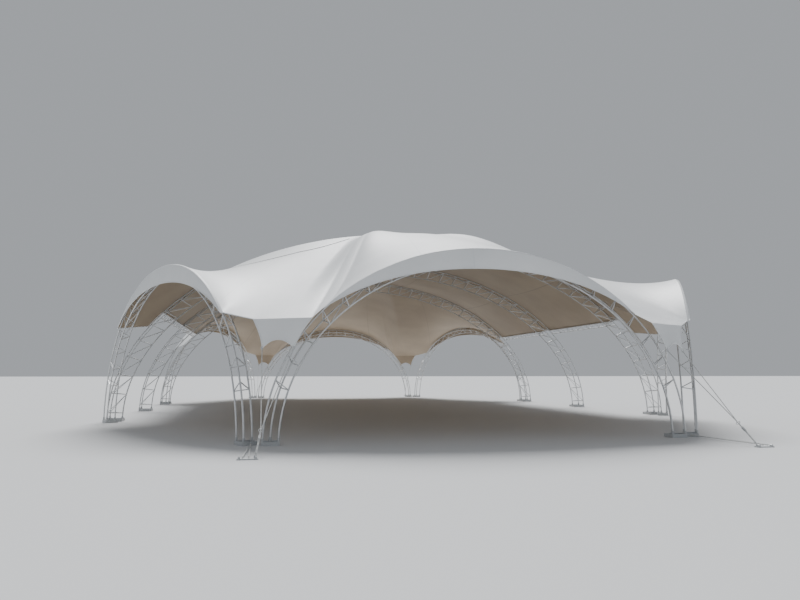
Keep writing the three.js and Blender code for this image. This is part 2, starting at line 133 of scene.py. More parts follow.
class Shape:
    """Points and faces of one piece, gathered as arrays until they become a mesh."""

    def __init__(self):
        self.points = []
        self.faces = []
        self.count = 0

    def add(self, points, faces):
        points = np.asarray(points, dtype=float).reshape(-1, 3)
        self.points.append(points)
        self.faces.extend(np.asarray(face, dtype=int) + self.count for face in faces)
        self.count += len(points)
        return self

    def join(self, other):
        return self.add(np.concatenate(other.points), other.faces)

    def image(self, sign_x, sign_y):
        """The same shape mirrored in x and y; one mirror alone also turns its faces round."""
        points = np.concatenate(self.points) * (sign_x, sign_y, 1)
        faces = [face[:, ::-1] if sign_x * sign_y < 0 else face for face in self.faces]
        return Shape().add(points, faces)


def grid_faces(rows, columns, wrap=False):
    """Corner numbers of each cell in a grid of points; wrap joins the last column to the first."""
    cells = columns if wrap else columns - 1
    row, column = np.meshgrid(np.arange(rows - 1), np.arange(cells), indexing="ij")
    here = row * columns + column
    right = row * columns + (column + 1) % columns
    return np.stack([here, right, right + columns, here + columns], axis=-1).reshape(-1, 4)


def unit(vectors):
    """Each vector divided by its own length."""
    return vectors / np.linalg.norm(vectors, axis=-1, keepdims=True)


# %% Tubes, bars and blocks


def tube(path, radius, sides, reference):
    """A circle carried along the path, square to its tangent; reference fixes where it starts."""
    tangent = unit(np.gradient(path, axis=0))
    across = unit(np.cross(tangent, reference))
    above = np.cross(across, tangent)
    angle = 2 * np.pi * np.arange(sides) / sides
    ring = np.cos(angle)[:, None, None] * across + np.sin(angle)[:, None, None] * above
    points = path[:, None] + radius * ring.transpose(1, 0, 2)
    ends = np.arange(sides)[None, :]
    last = (len(path) - 1) * sides
    faces = [grid_faces(len(path), sides, wrap=True), ends[:, ::-1], ends + last]
    return points, faces


def bars(starts, ends, radius, sides=6):
    """Many straight bars at once: a ring of points round each start and the same round each end."""
    starts = np.atleast_2d(starts)
    ends = np.atleast_2d(ends)
    along = unit(ends - starts)
    helper = np.where(np.abs(along[:, 2:]) > 0.9, [[1.0, 0.0, 0.0]], [[0.0, 0.0, 1.0]])
    across = unit(np.cross(along, helper))
    above = np.cross(along, across)
    angle = 2 * np.pi * np.arange(sides) / sides
    ring = np.cos(angle)[:, None] * across[:, None] + np.sin(angle)[:, None] * above[:, None]
    points = np.stack([starts[:, None] + radius * ring, ends[:, None] + radius * ring], axis=1)
    first = np.arange(len(starts))[:, None] * 2 * sides
    corner = np.arange(sides)[None, :]
    following = (corner + 1) % sides
    side = np.stack(
        [first + corner, first + following, first + following + sides, first + corner + sides],
        axis=-1,
    )
    return points, [side.reshape(-1, 4), (first + corner)[:, ::-1], first + corner + sides]


def block(centre, size, turn=0.0):
    """A box of that size about its centre, turned about the vertical."""
    corners = np.array([[x, y, z] for z in (-1, 1) for y in (-1, 1) for x in (-1, 1)]) / 2 * size
    faces = [[0, 2, 3, 1], [4, 5, 7, 6], [0, 1, 5, 4], [2, 6, 7, 3], [0, 4, 6, 2], [1, 3, 7, 5]]
    return turned(corners, turn) + centre, [np.array(faces)]


def turned(points, angle):
    """Points turned about the vertical through the origin."""
    cosine = math.cos(angle)
    sine = math.sin(angle)
    matrix = np.array([[cosine, -sine, 0.0], [sine, cosine, 0.0], [0.0, 0.0, 1.0]])
    return np.asarray(points) @ matrix.T


# %% From a shape to a piece of the tent
CRISP_ANGLE = math.radians(35)


def make_piece(name, shape, materials, stands_for=(), shading="crisp", uv=None):
    """One mesh object from a shape, with its materials, that rides on the tent's only body. Its
    shading is flat, smooth, or crisp, where flat caps stay sharp beside smooth round sides."""
    mesh = bpy.data.meshes.new(name)
    points = np.concatenate(shape.points)
    sizes = np.concatenate([np.full(len(face), face.shape[1]) for face in shape.faces])
    corners = np.concatenate([face.ravel() for face in shape.faces])
    mesh.vertices.add(len(points))
    mesh.vertices.foreach_set("co", points.ravel())
    mesh.loops.add(len(corners))
    mesh.loops.foreach_set("vertex_index", corners)
    mesh.polygons.add(len(sizes))
    mesh.polygons.foreach_set("loop_start", np.concatenate([[0], np.cumsum(sizes)[:-1]]))
    mesh.polygons.foreach_set("loop_total", sizes)
    mesh.polygons.foreach_set("use_smooth", np.full(len(sizes), shading != "flat"))
    if uv is not None:
        layer = mesh.uv_layers.new(name="fabric_metres")
        layer.data.foreach_set("uv", uv.reshape(-1, 2)[corners].ravel())
    mesh.update(calc_edges=True)
    mesh.validate()
    if shading == "crisp":
        mesh.set_sharp_from_angle(angle=CRISP_ANGLE)
    for material in materials:
        mesh.materials.append(material)
    piece = bpy.data.objects.new(name, mesh)
    bpy.context.scene.collection.objects.link(piece)
    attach(piece, "root")
    if stands_for:
        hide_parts(*stands_for)
    return piece


def sharp_border(piece):
    """The open border of a sheet is a hard edge, so that its face shades evenly up to it."""
    mesh = piece.data
    edges = np.empty(len(mesh.loops), dtype=np.int32)
    mesh.loops.foreach_get("edge_index", edges)
    uses = np.bincount(edges, minlength=len(mesh.edges))
    mesh.edges.foreach_set("use_edge_sharp", uses == 1)


# %% [markdown]
# ## Materials
# Five finishes make the whole tent: coated fabric, mill-finish aluminium tube, zinc-coated
# steel, woven strap and lacing loops. They could be painted pictures, but noise worked out from
# the place needs no file and shows no repeat. Colours are written as sRGB and turned to linear.

# %% Helpers for materials


def linear(code):
    """An sRGB hex colour as linear light."""
    values = np.array([int(code[i : i + 2], 16) for i in (1, 3, 5)]) / 255
    light = np.where(values <= 0.04045, values / 12.92, ((values + 0.055) / 1.055) ** 2.4)
    return (*light, 1.0)


def set_inputs(tree, node, inputs):
    """Sockets are linked to the node's inputs, and plain values are set on them."""
    for name, value in inputs.items():
        if isinstance(value, bpy.types.NodeSocket):
            tree.links.new(value, node.inputs[name])
        else:
            node.inputs[name].default_value = value


def add_node(tree, kind, inputs=None, **settings):
    """One node: settings are its own properties, inputs are values or sockets to link from."""
    node = tree.nodes.new(kind)
    for name, value in settings.items():
        setattr(node, name, value)
    set_inputs(tree, node, inputs or {})
    return node


def new_material(name):
    """An empty material with its shader ready to be filled in."""
    material = bpy.data.materials.new(name)
    material.use_nodes = True
    tree = material.node_tree
    print("material", name)
    return material, tree, tree.nodes["Principled BSDF"]


# %% Places, noise and bumps


def object_place(tree):
    """Metres along the piece's own axes."""
    return add_node(tree, "ShaderNodeTexCoord").outputs["Object"]


def cloth_place(tree):
    """Metres along the cloth both ways, and those from its first row alone."""
    uv = add_node(tree, "ShaderNodeUVMap", uv_map="fabric_metres").outputs["UV"]
    parts = add_node(tree, "ShaderNodeSeparateXYZ", {"Vector": uv})
    return uv, parts.outputs["Y"]


def sums(tree, operation, *values):
    """The result of one operation on sockets and numbers."""
    node = add_node(tree, "ShaderNodeMath", dict(enumerate(values)), operation=operation)
    return node.outputs[0]


def noise(tree, place, scale, detail):
    """Cloudy noise from 0 to 1."""
    inputs = {"Vector": place, "Scale": scale, "Detail": detail}
    return add_node(tree, "ShaderNodeTexNoise", inputs).outputs["Fac"]


def bump(tree, height, strength, distance):
    """Shading as if the surface stood up where the height is large."""
    inputs = {"Height": height, "Strength": strength, "Distance": distance}
    return add_node(tree, "ShaderNodeBump", inputs).outputs["Normal"]


def ramp(tree, factor, low, high, dark, light):
    """A colour ramp with two stops."""
    node = add_node(tree, "ShaderNodeValToRGB", {"Fac": factor})
    for element, position, code in zip(node.color_ramp.elements, (low, high), (dark, light)):
        element.position = position
        element.color = linear(code)
    return node.outputs["Color"]


# %% [markdown]
# ## Coated fabric
# The canopy is polyester cloth coated with PVC: smooth and faintly glossy, white outside and duller
# inside. The inside is also painted darker and warmer, as painted shade under the roof. Its welded
# seams show as slightly darker bands, and weather leaves faint clouds. The seams could be strips
# of their own. They are drawn in the colour and the bump instead, in metres along the cloth,
# because they are thin and follow it everywhere.

# %% Coated fabric
SEAM_SPACING = 4.0
SEAM_WIDTH = 0.045


def coated_fabric(name, clean, dusty, seam, roughness):
    """Clean and dusty tones in clouds, a seam's tone at each seam, and a bump for both."""
    material, tree, shader = new_material(name)
    place = object_place(tree)
    uv, along = cloth_place(tree)
    near = sums(tree, "LESS_THAN", sums(tree, "PINGPONG", along, SEAM_SPACING / 2), SEAM_WIDTH / 2)
    stain = ramp(tree, noise(tree, place, 0.55, 5.0), 0.38, 0.68, dusty, clean)
    inputs = {"Factor": near, "A": stain, "B": linear(seam)}
    banded = add_node(tree, "ShaderNodeMix", inputs, data_type="RGBA")
    pull = noise(tree, uv, 0.9, 3.0)
    height = sums(tree, "MULTIPLY_ADD", pull, 6.0, noise(tree, place, 260.0, 2.0))
    raised = sums(tree, "MULTIPLY_ADD", near, 0.4, height)
    set_inputs(tree, shader, {
        "Base Color": banded.outputs["Result"],
        "Normal": bump(tree, raised, 0.25, 0.004),
        "Roughness": roughness,
        "IOR": 1.5,
    })
    return material


fabric_outer = coated_fabric("coated_fabric_white", "#f1f2f3", "#e6e8e9", "#e3e5e7", 0.42)
# The lining's darker, warmer tones are painted shade of the tent's underside.
lining_painted_shade = coated_fabric("coated_fabric_painted_shade_lining", "#c3b29b", "#b6a48e", "#ad9c87", 0.6)

# %% [markdown]
# ## Aluminium tube
# The arches are aluminium tube with its mill finish: pale grey metal with duller patches where
# hands and weather have been. One noise drives both the tint and the gloss, because on the real
# tube a dull patch is a darker one too.

# %% Aluminium tube


def mill_aluminium():
    """Pale metal whose tint and roughness change together, with a fine grain."""
    material, tree, shader = new_material("mill_finish_aluminium")
    place = object_place(tree)
    patchy = noise(tree, place, 7.0, 6.0)
    span = {"From Min": 0.3, "From Max": 0.7, "To Min": 0.5, "To Max": 0.34}
    gloss = add_node(tree, "ShaderNodeMapRange", {"Value": patchy, **span})
    set_inputs(tree, shader, {
        "Base Color": ramp(tree, patchy, 0.3, 0.7, "#d3d5d6", "#e6e7e8"),
        "Normal": bump(tree, noise(tree, place, 180.0, 2.0), 0.2, 0.001),
        "Roughness": gloss.outputs["Result"],
        "Metallic": 0.6,
    })
    return material


aluminium = mill_aluminium()

# %% [markdown]
# ## Zinc-coated steel
# Foot trays, anchors and fittings are steel dipped in zinc, which cools in flat crystals, so the
# plates have a mottled grey bloom. Voronoi cells have borders as crystals do, where a plain
# noise would look like dirt.

# %% Zinc-coated steel


def zinc_steel():
    """Crystal cells in two greys on a half metallic ground."""
    material, tree, shader = new_material("zinc_coated_steel")
    inputs = {"Vector": object_place(tree), "Scale": 60.0}
    crystals = add_node(tree, "ShaderNodeTexVoronoi", inputs).outputs["Distance"]
    tint = ramp(tree, crystals, 0.1, 0.8, "#b4b7b9", "#cfd1d2")
    set_inputs(tree, shader, {"Base Color": tint, "Metallic": 0.55, "Roughness": 0.5})
    return material


zinc = zinc_steel()

# %% [markdown]
# ## Woven strap
# Ropes and straps are polyester, woven with a cross rib. The real rib is too fine to see from
# here, so it is drawn as faint wide bands that break up the plain tone. Each thread could be a
# mesh, which would cost far more than it shows.

# %% Woven strap
RIB_SPACING = 0.024 * math.pi
WAVE_FACTOR = 20


def woven_strap():
    """Level bands: the wave texture turns through WAVE_FACTOR radians in a metre at scale 1."""
    material, tree, shader = new_material("woven_polyester_strap")
    scale = 2 * math.pi / RIB_SPACING / WAVE_FACTOR
    inputs = {"Vector": object_place(tree), "Scale": scale, "Distortion": 0.4}
    rib = add_node(tree, "ShaderNodeTexWave", inputs, bands_direction="Z").outputs["Fac"]
    set_inputs(tree, shader, {
        "Base Color": ramp(tree, rib, 0.2, 0.8, "#c0c2c1", "#cdcecc"),
        "Normal": bump(tree, rib, 0.4, 0.002),
        "Roughness": 0.85,
    })
    return material


strap_cloth = woven_strap()

# %% [markdown]
# ## Lacing loops
# Where a side canopy is laced to the hall's cloth, dark polyester loops run one through the
# next, so close together that the seam looks like a grey line with a fine rib across it. Their
# dark grey is partly painted shade in the gap of the joint, and the darker band between two
# loops is painted shade too. A ramp along the strip's own length draws the loops, and they
# follow its bends by themselves.

# %% Lacing loops
LOOP_SPACING = 0.08


def lacing_loops():
    """A triangle wave along the strip, 0 between two loops and 1 on each of them; the dark stop at 0
    is painted shade between the loops.
    """
    material, tree, shader = new_material("lacing_loops_and_painted_shade")
    _, along = cloth_place(tree)
    share = sums(tree, "MULTIPLY", sums(tree, "PINGPONG", along, LOOP_SPACING / 2), 2 / LOOP_SPACING)
    set_inputs(tree, shader, {
        # The dark stop between loops is painted shade in the gaps, and the strip's dark grey is
        # partly painted shade of the joint.
        "Base Color": ramp(tree, share, 0.35, 0.65, "#3e4144", "#707478"),
        "Normal": bump(tree, share, 0.6, 0.006),
        "Roughness": 0.8,
    })
    return material


lacing_and_painted_shade = lacing_loops()

# %% [markdown]
# ## Curved trusses
# Each arch is half an ellipse rolled three times, once for each chord. Rungs join two of the
# chords like a ladder, and pairs of short bars go from each rung to the third chord. On a hall
# arch the ladder lies against the cloth. On an end arch it faces into the tent, and the third
# chord carries the cloth. Arrays along curves could draw the bars, but a table of the ellipse's
# length puts each one exactly on its joint.

# %% Points along an arch
CLOTH_ALLOWANCE = 0.024
CHORD_RADIUS = 0.03
CHORD_START = 0.02
CLOTH_CLEARANCE = 0.003
TABLE = np.linspace(math.pi, 0.0, 4001)


def chord_size(arch, inset):
    """Half span and rise of a chord's centre line, below the cloth by its own radius and inset."""
    depth = CLOTH_ALLOWANCE + CHORD_RADIUS + inset
    return arch[0] - depth, arch[1] - depth - CHORD_START


def along_arch(share, arch, inset=0.0, shift=0.0):
    """Points at equal shares of the curve's length: x = a cos t, z = b sin t, from left to right."""
    half, rise = chord_size(arch, inset)
    x = half * np.cos(TABLE)
    z = rise * np.sin(TABLE)
    length = np.concatenate([[0.0], np.cumsum(np.hypot(np.diff(x), np.diff(z)))])
    angle = np.interp(np.asarray(share) * length[-1], length, TABLE)
    y = np.full_like(angle, shift)
    return np.stack([half * np.cos(angle), y, CHORD_START + rise * np.sin(angle)], axis=-1)


def lift_from(points, arch):
    """Direction away from the arch: (x / a^2, z / b^2) at a unit's length."""
    half, rise = chord_size(arch, 0.0)
    x = points[..., 0] / half**2
    z = (points[..., 2] - CHORD_START) / rise**2
    return unit(np.stack([x, np.zeros_like(x), z], axis=-1))


def cloth_on(share, arch, shift=0.0):
    """Where the cloth lies on the top chord, and the direction out of the cloth there."""
    centre = along_arch(share, arch, 0.0, shift)
    lift = lift_from(centre, arch)
    return centre + (CHORD_RADIUS + CLOTH_CLEARANCE) * lift, lift


# %% Place an arch in the plan


def stand(points, centre, turn):
    """An arch's own points, turned about the vertical and moved to its place in the plan."""
    return turned(points, turn) + centre


def moved(shape, centre, turn):
    """A copy of a shape, stood in its place in the plan."""
    return Shape().add(stand(np.concatenate(shape.points), centre, turn), shape.faces)


# %% Chords of the two sections
TRIANGLE = math.sin(SIXTH_TURN)
LADDER_SHIFT = -END_TRUSS * TRIANGLE / 3
# Each chord is a pair: how far inside the arch's outer curve it lies, and how far along the tent.
HALL_CHORDS = [(0.0, -HALL_TRUSS / 2), (0.0, HALL_TRUSS / 2), (HALL_TRUSS * TRIANGLE, 0.0)]
END_CHORDS = [(0.0, LADDER_SHIFT), (END_TRUSS, LADDER_SHIFT), (END_TRUSS / 2, -2 * LADDER_SHIFT)]
INSIDE_LADDER = [END_CHORDS[1], END_CHORDS[2], END_CHORDS[0]]
print("truss depths:", round(HALL_CHORDS[2][0], 2), "and", END_TRUSS, "m")

# %% One truss
TUBE_RADIUS = 0.0212
BAR_RADIUS = 0.014
BRACE_RADIUS = BAR_RADIUS * 0.85
CHORD_SIDES = 12
CHORD_RINGS = 121


def truss(arch, chords, frames, first, lean, braced, braced_part=(0.0, 1.0)):
    """Three chords and their lacing. Frames stand evenly between the shares first and 1 - first
    of the length, and their bars to the third chord lean towards the crown by a share of a bay.
    A brace rises in each bay of that part of the arch, between the chords of each pair."""
    shape = Shape()
    fine = np.linspace(0.0, 1.0, CHORD_RINGS)
    for inset, shift in chords:
        line = along_arch(fine, arch, inset, shift)
        shape.add(*tube(line, TUBE_RADIUS, CHORD_SIDES, (0.0, 1.0, 0.0)))
    share = np.linspace(first, 1 - first, frames)
    towards_crown = np.sign(0.5 - share) * lean * (share[1] - share[0])
    ladder_a = along_arch(share, arch, *chords[0])
    ladder_b = along_arch(share, arch, *chords[1])
    third = along_arch(share + towards_crown, arch, *chords[2])
    for start, end in ((ladder_a, ladder_b), (ladder_a, third), (ladder_b, third)):
        shape.add(*bars(start, end, BAR_RADIUS))
    bay = share[(share > braced_part[0]) & (share < braced_part[1])]
    rising = bay[:-1] + bay[1:] < 1.0
    for a, b in braced:
        start = along_arch(np.where(rising, bay[:-1], bay[1:]), arch, *chords[a])
        end = along_arch(np.where(rising, bay[1:], bay[:-1]), arch, *chords[b])
        shape.add(*bars(start, end, BRACE_RADIUS))
    return shape


# %% [markdown]
# ## Foot trays
# Each leg stands in a shallow tray welded from flat bar, a little wider than the truss, which
# spreads the load on soft ground. Each chord ends in a sleeve on the base plate with a bolt
# through it. A box with its top pushed in would look the same, but five plain plates are what
# the real tray is welded from, and a bevel rounds all their edges at once.

# %% Foot trays
TRAY_HEIGHT = 0.09
TRAY_MARGIN = 0.035
TRAY_WALL = 0.01
TRAY_BEVEL = 0.002
# Radius and height of a sleeve, and the share of its height at which the bolt goes through.
SLEEVE = (TUBE_RADIUS + 0.006, 0.16)
BOLT_PLACE = 0.7
# Radius and half length of a bolt.
BOLT = (0.009, 0.055)


def tray(arch, chords):
    """An open box below the three chords of the left foot, with a sleeve and a bolt for each."""
    feet = np.concatenate([along_arch([0.0], arch, inset, shift) for inset, shift in chords])
    low = feet.min(axis=0)[:2] - TRAY_MARGIN
    high = feet.max(axis=0)[:2] + TRAY_MARGIN
    middle = (low + high) / 2
    size = high - low
    shape = Shape()
    shape.add(*block((*middle, TRAY_WALL / 2), (*(size - 2 * TRAY_WALL), TRAY_WALL)))
    for side in (-1, 1):
        across = (size[0] - 2 * TRAY_WALL, TRAY_WALL, TRAY_HEIGHT)
        place = (middle[0], middle[1] + side * (size[1] - TRAY_WALL) / 2, TRAY_HEIGHT / 2)
        shape.add(*block(place, across))
        along = (TRAY_WALL, size[1], TRAY_HEIGHT)
        place = (middle[0] + side * (size[0] - TRAY_WALL) / 2, middle[1], TRAY_HEIGHT / 2)
        shape.add(*block(place, along))
    floor = feet * (1, 1, 0) + UP * TRAY_WALL
    shape.add(*bars(floor, floor + UP * SLEEVE[1], SLEEVE[0], 16))
    bolt = floor + UP * SLEEVE[1] * BOLT_PLACE
    reach = np.array([BOLT[1], 0.0, 0.0])
    return shape.add(*bars(bolt - reach, bolt + reach, BOLT[0], 6))


# %% Stand the nine arches
HALL_LACING = {"frames": 41, "first": 0.01, "lean": 0.0, "braced": [(0, 2), (1, 2)]}
END_LACING = {
    "frames": 21, "first": 0.086, "lean": 0.22, "braced": [(0, 1)], "braced_part": (0.2, 0.8),
}
KINDS = {
    "hall": (HALL, HALL_CHORDS, truss(HALL, HALL_CHORDS, **HALL_LACING)),
    "front": (FRONT, END_CHORDS, truss(FRONT, INSIDE_LADDER, **END_LACING)),
    "side": (SIDE, END_CHORDS, truss(SIDE, INSIDE_LADDER, **END_LACING)),
}
FRONT_CENTRE = np.array([0.0, FRONT_Y, 0.0])
ENDS = (("front", 1), ("rear", -1))
SIDES = (("left", 1), ("right", -1))


def stand_arch(name, kind, centre, turn, signs, nodes):
    """The truss of one arch and the trays under its feet, in their place in the plan."""
    arch, chords, lattice = KINDS[kind]
    placed = moved(lattice, centre, turn).image(*signs)
    make_piece(f"{name}_truss", placed, [aluminium], nodes)
    feet = tray(arch, chords)
    feet.join(feet.image(-1, 1))
    placed_feet = moved(feet, centre, turn).image(*signs)
    trays = make_piece(f"{name}_foot_trays", placed_feet, [zinc], shading="flat")
    bevel = trays.modifiers.new("edge", "BEVEL")
    bevel.width = TRAY_BEVEL
    bevel.segments = 2
    bevel.limit_method = "ANGLE"
    print(name, "with a truss of", placed.count, "points")


for number, y in enumerate((-BAY, 0.0, BAY), start=1):
    name = f"hall_arch_{number}"
    place = np.array([0.0, y, 0.0])
    stand_arch(name, "hall", place, 0.0, (1, 1), (f"{name}_left", f"{name}_right"))
for end, sign_y in ENDS:
    stand_arch(f"{end}_arch", "front", FRONT_CENTRE, 0.0, (1, sign_y), (f"{end}_arch",))
    for side, sign_x in SIDES:
        name = f"{end}_{side}_arch"
        stand_arch(name, "side", SIDE_CENTRE, -SIDE_TURN, (sign_x, sign_y), (name,))

# %% [markdown]
# ## Eave beams
# Between neighbouring hall arches the roof's lower edge is laced to a beam of two tubes, one
# above the other, with short posts and a few braces between them. The four beams are alike, so
# one is made and mirrored instead of modelled four times.

# %% Eave beams
EAVE_BEAM_DEPTH = 0.2
EAVE_BEAM_JOINTS = 14
QUARTERS = [(f"{end}_{side}", sign_x, sign_y) for end, sign_y in ENDS for side, sign_x in SIDES]


def eave_beam():
    """Two tubes along y at the hall arch's eave joint, the lower one further down the curve."""
    joints = along_arch(np.array([HALL_EAVE, HALL_EAVE - 1]) / HALL_STEPS, HALL)
    down = unit(joints[1] - joints[0])
    shape = Shape()
    rows = []
    for depth in (0.0, EAVE_BEAM_DEPTH):
        row = np.tile(joints[0] + down * depth, (EAVE_BEAM_JOINTS, 1))
        row[:, 1] = np.linspace(-BAY + HALL_TRUSS / 2, -HALL_TRUSS / 2, EAVE_BEAM_JOINTS)
        shape.add(*bars(row[:1], row[-1:], TUBE_RADIUS, CHORD_SIDES))
        rows.append(row)
    top, low = rows
    shape.add(*bars(top[1:-1], low[1:-1], BAR_RADIUS))
    shape.add(*bars(top[:-1:2], low[1::2], BRACE_RADIUS))
    return shape


def fit_quarters(kinds):
    """Pieces made for the front left quarter, each mirrored into all four."""
    for quarter, sign_x, sign_y in QUARTERS:
        for stem, part, shape, material, slot, stands_in in kinds:
            nodes = (f"{stem}_{quarter}",) if stands_in else ()
            placed = shape.image(sign_x, sign_y)
            make_piece(f"{stem}_{quarter}_{part}", placed, [material], nodes)
    print("in each quarter:", [f"{kind[0]} {kind[1]}" for kind in kinds])


fit_quarters([("eave_beam", "tubes", eave_beam(), aluminium, "alloy", True)])

# %% [markdown]
# ## The canopy of an end
# Pulled tight between the three end arches and the first hall arch, the cloth finds the shape
# of a soap film: it rises in a ridge behind each arch and falls in a valley to each corner
# flap. A cloth simulation would find it too, but slowly, and it would keep ripples of its own.
# Here a grid of points is relaxed until each one lies at the mean of its neighbours, with the
# edges held where the arches and the flap's fold are.

# %% Edges of the canopy
ROW_PARTS = 8
# The side canopy is held to the hall arch from a little above the step below the eave up to the
# step at the fold, with this many parts of its rows on each step between.
LOW_CORNER = 0.35
HALL_FOLD = 11
HALL_PARTS = (1, 2, 2, 2, 1, 1, 1, 4)
FLAP_HALF_TOP = 0.75
HALL_Y_SHIFT = -HALL_TRUSS / 2


def fold_point(side):
    """A point on the flap's fold, side from -1 to 1."""
    return FLAP_MIDDLE + ACROSS * side * FLAP_HALF_TOP


def straight(start, end, parts):
    """Points at equal steps to the end of a straight edge, without its start."""
    share = np.linspace(0.0, 1.0, parts * ROW_PARTS + 1)[1:, None]
    return start + (end - start) * share


def end_line(arch, last, centre, turn):
    """The line of the cloth on an end arch, from the eave to the step named last."""
    share = np.linspace(END_EAVE, last, (last - END_EAVE) * ROW_PARTS + 1) / END_STEPS
    line, _ = cloth_on(share, arch, LADDER_SHIFT)
    return stand(line, centre, turn)


def canopy_edges():
    """Outer and inner edge of the left half of an end, row by row, from the eave to the middle."""
    side_line = end_line(SIDE, END_STEPS - END_EAVE, SIDE_CENTRE, -SIDE_TURN)
    front_line = end_line(FRONT, END_STEPS // 2, FRONT_CENTRE, 0.0)
    left, middle, right = (fold_point(side) for side in (-1, 0, 1))
    outer = np.concatenate([
        side_line,
        straight(side_line[-1], left, 2),
        straight(left, middle, 2),
        straight(middle, right, 2),
        straight(right, front_line[0], 1),
        front_line[1:],
    ])
    rows_side = len(side_line) + 4 * ROW_PARTS
    rows_middle = len(outer) - rows_side
    held = np.arange(HALL_EAVE - 1, HALL_FOLD + 1, dtype=float)
    held[0] += LOW_CORNER
    joint = np.concatenate([
        np.interp(np.arange(rows_side), np.cumsum((0, *HALL_PARTS)) * ROW_PARTS, held),
        np.linspace(HALL_FOLD, HALL_STEPS / 2, rows_middle + 1)[1:],
    ])
    inner, _ = cloth_on(joint / HALL_STEPS, HALL, HALL_Y_SHIFT)
    inner[:, 1] += -BAY
    return outer, inner, rows_side


outer_edge, inner_edge, side_rows = canopy_edges()
print("edge of a half end:", len(outer_edge), "points,", side_rows, "of them on the side canopy")

# %% Relax the net
COLUMNS = 41
RELAX_TURNS = 2500
CROWN_LIFT = 0.16
SHOULDER_LIFT = 0.43


def relaxed_end():
    """Straight rows between both edges, mirrored about the middle. Then each inner point becomes
    the mean of its four neighbours, again and again."""
    outer = np.concatenate([outer_edge, (outer_edge * (-1, 1, 1))[-2::-1]])
    inner = np.concatenate([inner_edge, (inner_edge * (-1, 1, 1))[-2::-1]])
    share = np.linspace(0.0, 1.0, COLUMNS)[None, :, None]
    net = outer[:, None] * (1 - share) + inner[:, None] * share
    start_height = net[..., 2].copy()
    for _ in range(RELAX_TURNS):
        mean = (net[:-2, 1:-1] + net[2:, 1:-1] + net[1:-1, :-2] + net[1:-1, 2:]) / 4
        net[1:-1, 1:-1] = mean
    return raised_middle(net, start_height)


def raised_middle(net, start_height):
    """The middle canopy is cut full. Towards the middle each row goes back to the height that it
    had when straight, plus a sine along the row that is highest in a shoulder beside each fold."""
    half = (len(net) - 1) // 2
    aside = np.abs(np.arange(len(net)) - half) / (half - side_rows + 1)
    aside = aside.clip(0.0, 1.0)[:, None]
    share = np.linspace(0.0, 1.0, net.shape[1])[None, :]
    shoulder = SHOULDER_LIFT * np.sin(np.pi * aside**1.4) ** 2
    lift = (CROWN_LIFT * (1 - aside**2) + shoulder) * np.sin(np.pi * share**1.5)
    net[..., 2] += (1 - aside**4) * (start_height - net[..., 2]) + lift
    return net


end_net = relaxed_end()
print("end canopy: a net of", end_net.shape[0], "by", end_net.shape[1], "points")

# %% [markdown]
# ## Cloth and hems
# The cloth is about a millimetre thick, with a rope sewn into the hem of each free edge. The
# net gets its thickness from a modifier, which leaves the points easy to change. The hem could
# be a border of finer rows in the net, but a thin tube along the edge is rounder and cheaper.

# %% Measures of a net


def net_size(net):
    """Length along the middle row and along the middle column."""
    row = net[len(net) // 2]
    column = net[:, net.shape[1] // 2]
    wide = np.linalg.norm(np.diff(row, axis=0), axis=-1).sum()
    long = np.linalg.norm(np.diff(column, axis=0), axis=-1).sum()
    return wide, long


def fabric_uv(net):
    """Metres along each row, and metres along the longest column from the first row."""
    steps = np.linalg.norm(np.diff(net, axis=1), axis=-1)
    along = np.concatenate([np.zeros((len(net), 1)), np.cumsum(steps, axis=1)], axis=1)
    steps = np.linalg.norm(np.diff(net, axis=0), axis=-1)
    widest = steps.sum(axis=0).argmax()
    across = np.concatenate([[0.0], np.cumsum(steps[:, widest])])
    return np.stack([along, np.broadcast_to(across[:, None], along.shape)], axis=-1)


# %% Cloth from a net of points
CLOTH_THICKNESS = 0.004
BEAD_RADIUS = 0.013
BEAD_SIDES = 8


def edge_bead(name, lines, facing):
    """The rope in the hem of a free edge shows as a round bead along it."""
    shape = Shape()
    for line in lines:
        shape.add(*tube(line, BEAD_RADIUS, BEAD_SIDES, facing))
    # All of it takes one place on the cloth, between two seams.
    plain = np.ones((shape.count, 2))
    return make_piece(f"{name}_edge_bead", shape, [fabric_outer], uv=plain)


def cloth_piece(name, net, stands_for, upwards=1):
    """A net of points as one sheet of cloth: white outside, a darker warm painted shade inside, a
    few millimetres thick."""
    shape = Shape()
    faces = grid_faces(*net.shape[:2])
    shape.add(net, [faces if upwards > 0 else faces[:, ::-1]])
    faces_of_cloth = [fabric_outer, lining_painted_shade]
    piece = make_piece(name, shape, faces_of_cloth, stands_for, "smooth", fabric_uv(net))
    sharp_border(piece)
    wall = piece.modifiers.new("thickness", "SOLIDIFY")
    wall.thickness = CLOTH_THICKNESS
    wall.offset = -1.0
    wall.material_offset = 1
    wall.material_offset_rim = 0


def image_net(net, sign_x, sign_y):
    """A net mirrored in x and y, with the sign that its faces' direction takes."""
    return net * (sign_x, sign_y, 1), sign_x * sign_y


# %% [markdown]
# ## Lacing line
# Each side canopy is laced to the cloth that comes over from the hall. The line leaves the hall
# arch near the fold, runs straighter than the arch does, and comes back to it at the eave. It
# could be a dark stripe in the fabric's colour. A strip of its own stands a few millimetres up,
# as the loops do, and keeps its finish apart from the cloth's.

# %% Lacing line
LACING_WIDTH = 0.1
LACING_RISE = 0.008
LACING_NEAR = 0.4
LACING_BOW = 2.1


